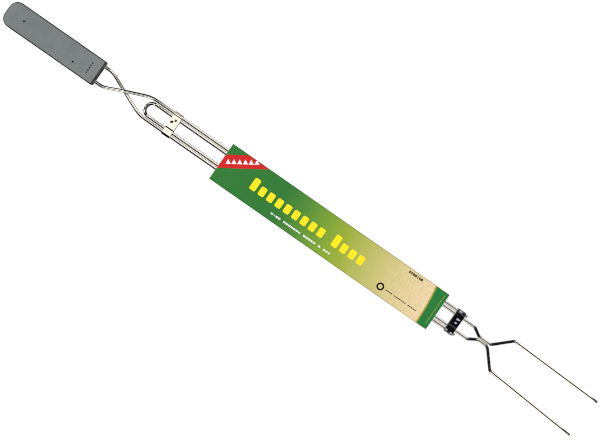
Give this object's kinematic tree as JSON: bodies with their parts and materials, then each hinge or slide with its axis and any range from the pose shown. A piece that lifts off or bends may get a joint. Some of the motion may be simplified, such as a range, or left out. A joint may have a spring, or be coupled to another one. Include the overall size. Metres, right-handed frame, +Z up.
{
  "type": "telescoping roasting fork",
  "caption": "Telescoping wire roasting fork: moulded handle, crossed frame wires, sliding two-tine fork wire run in strip clips, and a printed card sleeve.",
  "frame": {"origin": "on the surface the handle lies on, under the middle of the handle", "axes": "+X from the handle to the tines, +Y across the fork, +Z up"},
  "size_m": [0.5163, 0.0358, 0.011],
  "materials": {
    "grip_plastic": "satin moulded plastic, dark grey, fine even texture",
    "chrome_wire": "bright chromed steel wire",
    "chrome_strip": "bright plated steel strip with spot-weld pits",
    "dark_strip": "glossy blackened steel strip",
    "printed_card": "printed card, green fading to tan, semi-gloss"
  },
  "bodies": {
    "handle_frame": {"handle_grip": "grip_plastic", "frame_wire_left": "chrome_wire", "frame_wire_right": "chrome_wire", "guide_clip": "dark_strip"},
    "fork": {"fork_wire": "chrome_wire", "slider_clip": "chrome_strip"},
    "card": {"card_sleeve": "printed_card"}
  },
  "joints": [
    {"name": "fork_slide", "type": "slide", "parent": "handle_frame", "child": "fork", "axis": [1, 0, 0], "range_m": [0, 0.2444]},
    {"name": "card_slide", "type": "slide", "parent": "handle_frame", "child": "card", "axis": [1, 0, 0], "range_m": [-0.105, 0.054]}
  ]
}
